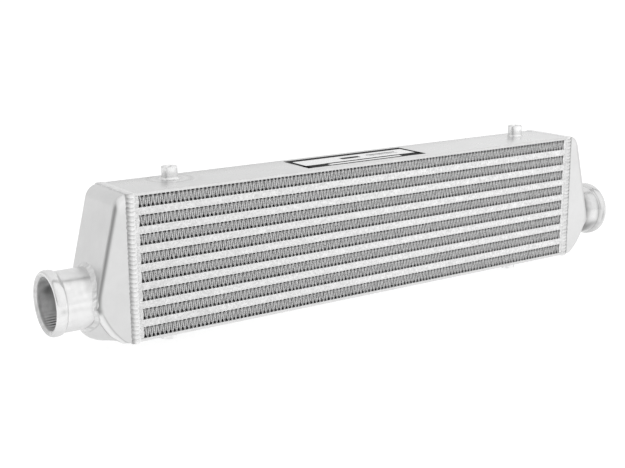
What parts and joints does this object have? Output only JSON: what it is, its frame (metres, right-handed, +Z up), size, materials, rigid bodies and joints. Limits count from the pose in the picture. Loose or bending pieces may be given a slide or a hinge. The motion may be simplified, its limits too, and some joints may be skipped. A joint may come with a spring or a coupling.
{
  "type": "intercooler",
  "caption": "Front-mount air-to-air intercooler: brazed bar-and-plate core with open fin rows, cast end tanks, beaded hose spigots and tapped mounting bosses.",
  "frame": {"origin": "centre of the core block, which is the centre of the bounding box", "axes": "+X along the core towards the right-hand spigot, +Y front to back (the picture's camera stands on the -Y side), +Z up towards the labelled top plate"},
  "size_m": [0.702, 0.069, 0.164],
  "materials": {
    "core_plate": "satin rolled plate",
    "core_bar": "fine shot-blasted matte",
    "fin": "thin folded strip, satin",
    "sheet": "brazed sheet, satin",
    "cast_tank": "cast, linished satin",
    "pipe": "turned and polished",
    "weld": "rippled weld bead",
    "boss": "turned satin",
    "label": "brushed foil with plain dark print fields"
  },
  "bodies": {
    "root": {"top_plate": "core_plate", "bottom_plate": "core_plate", "cooling_fin_1": "fin", "cooling_fin_2": "fin", "cooling_fin_3": "fin", "cooling_fin_4": "fin", "cooling_fin_5": "fin", "cooling_fin_6": "fin", "cooling_fin_7": "fin", "cooling_fin_8": "fin", "front_bar_1": "core_bar", "front_bar_2": "core_bar", "front_bar_3": "core_bar", "front_bar_4": "core_bar", "front_bar_5": "core_bar", "front_bar_6": "core_bar", "front_bar_7": "core_bar", "rear_bar_1": "core_bar", "rear_bar_2": "core_bar", "rear_bar_3": "core_bar", "rear_bar_4": "core_bar", "rear_bar_5": "core_bar", "rear_bar_6": "core_bar", "rear_bar_7": "core_bar", "turbulator_1": "fin", "turbulator_2": "fin", "turbulator_3": "fin", "turbulator_4": "fin", "turbulator_5": "fin", "turbulator_6": "fin", "turbulator_7": "fin", "parting_sheet_1": "sheet", "parting_sheet_2": "sheet", "parting_sheet_3": "sheet", "parting_sheet_4": "sheet", "parting_sheet_5": "sheet", "parting_sheet_6": "sheet", "parting_sheet_7": "sheet", "parting_sheet_8": "sheet", "parting_sheet_9": "sheet", "parting_sheet_10": "sheet", "parting_sheet_11": "sheet", "parting_sheet_12": "sheet", "parting_sheet_13": "sheet", "parting_sheet_14": "sheet", "left_end_bars": "core_bar", "right_end_bars": "core_bar", "left_end_tank": "cast_tank", "right_end_tank": "cast_tank", "left_spigot": "pipe", "right_spigot": "pipe", "left_tank_weld": "weld", "right_tank_weld": "weld", "left_spigot_weld": "weld", "right_spigot_weld": "weld", "top_left_boss": "boss", "top_right_boss": "boss", "bottom_left_boss": "boss", "bottom_right_boss": "boss", "top_label": "label"}
  },
  "joints": []
}
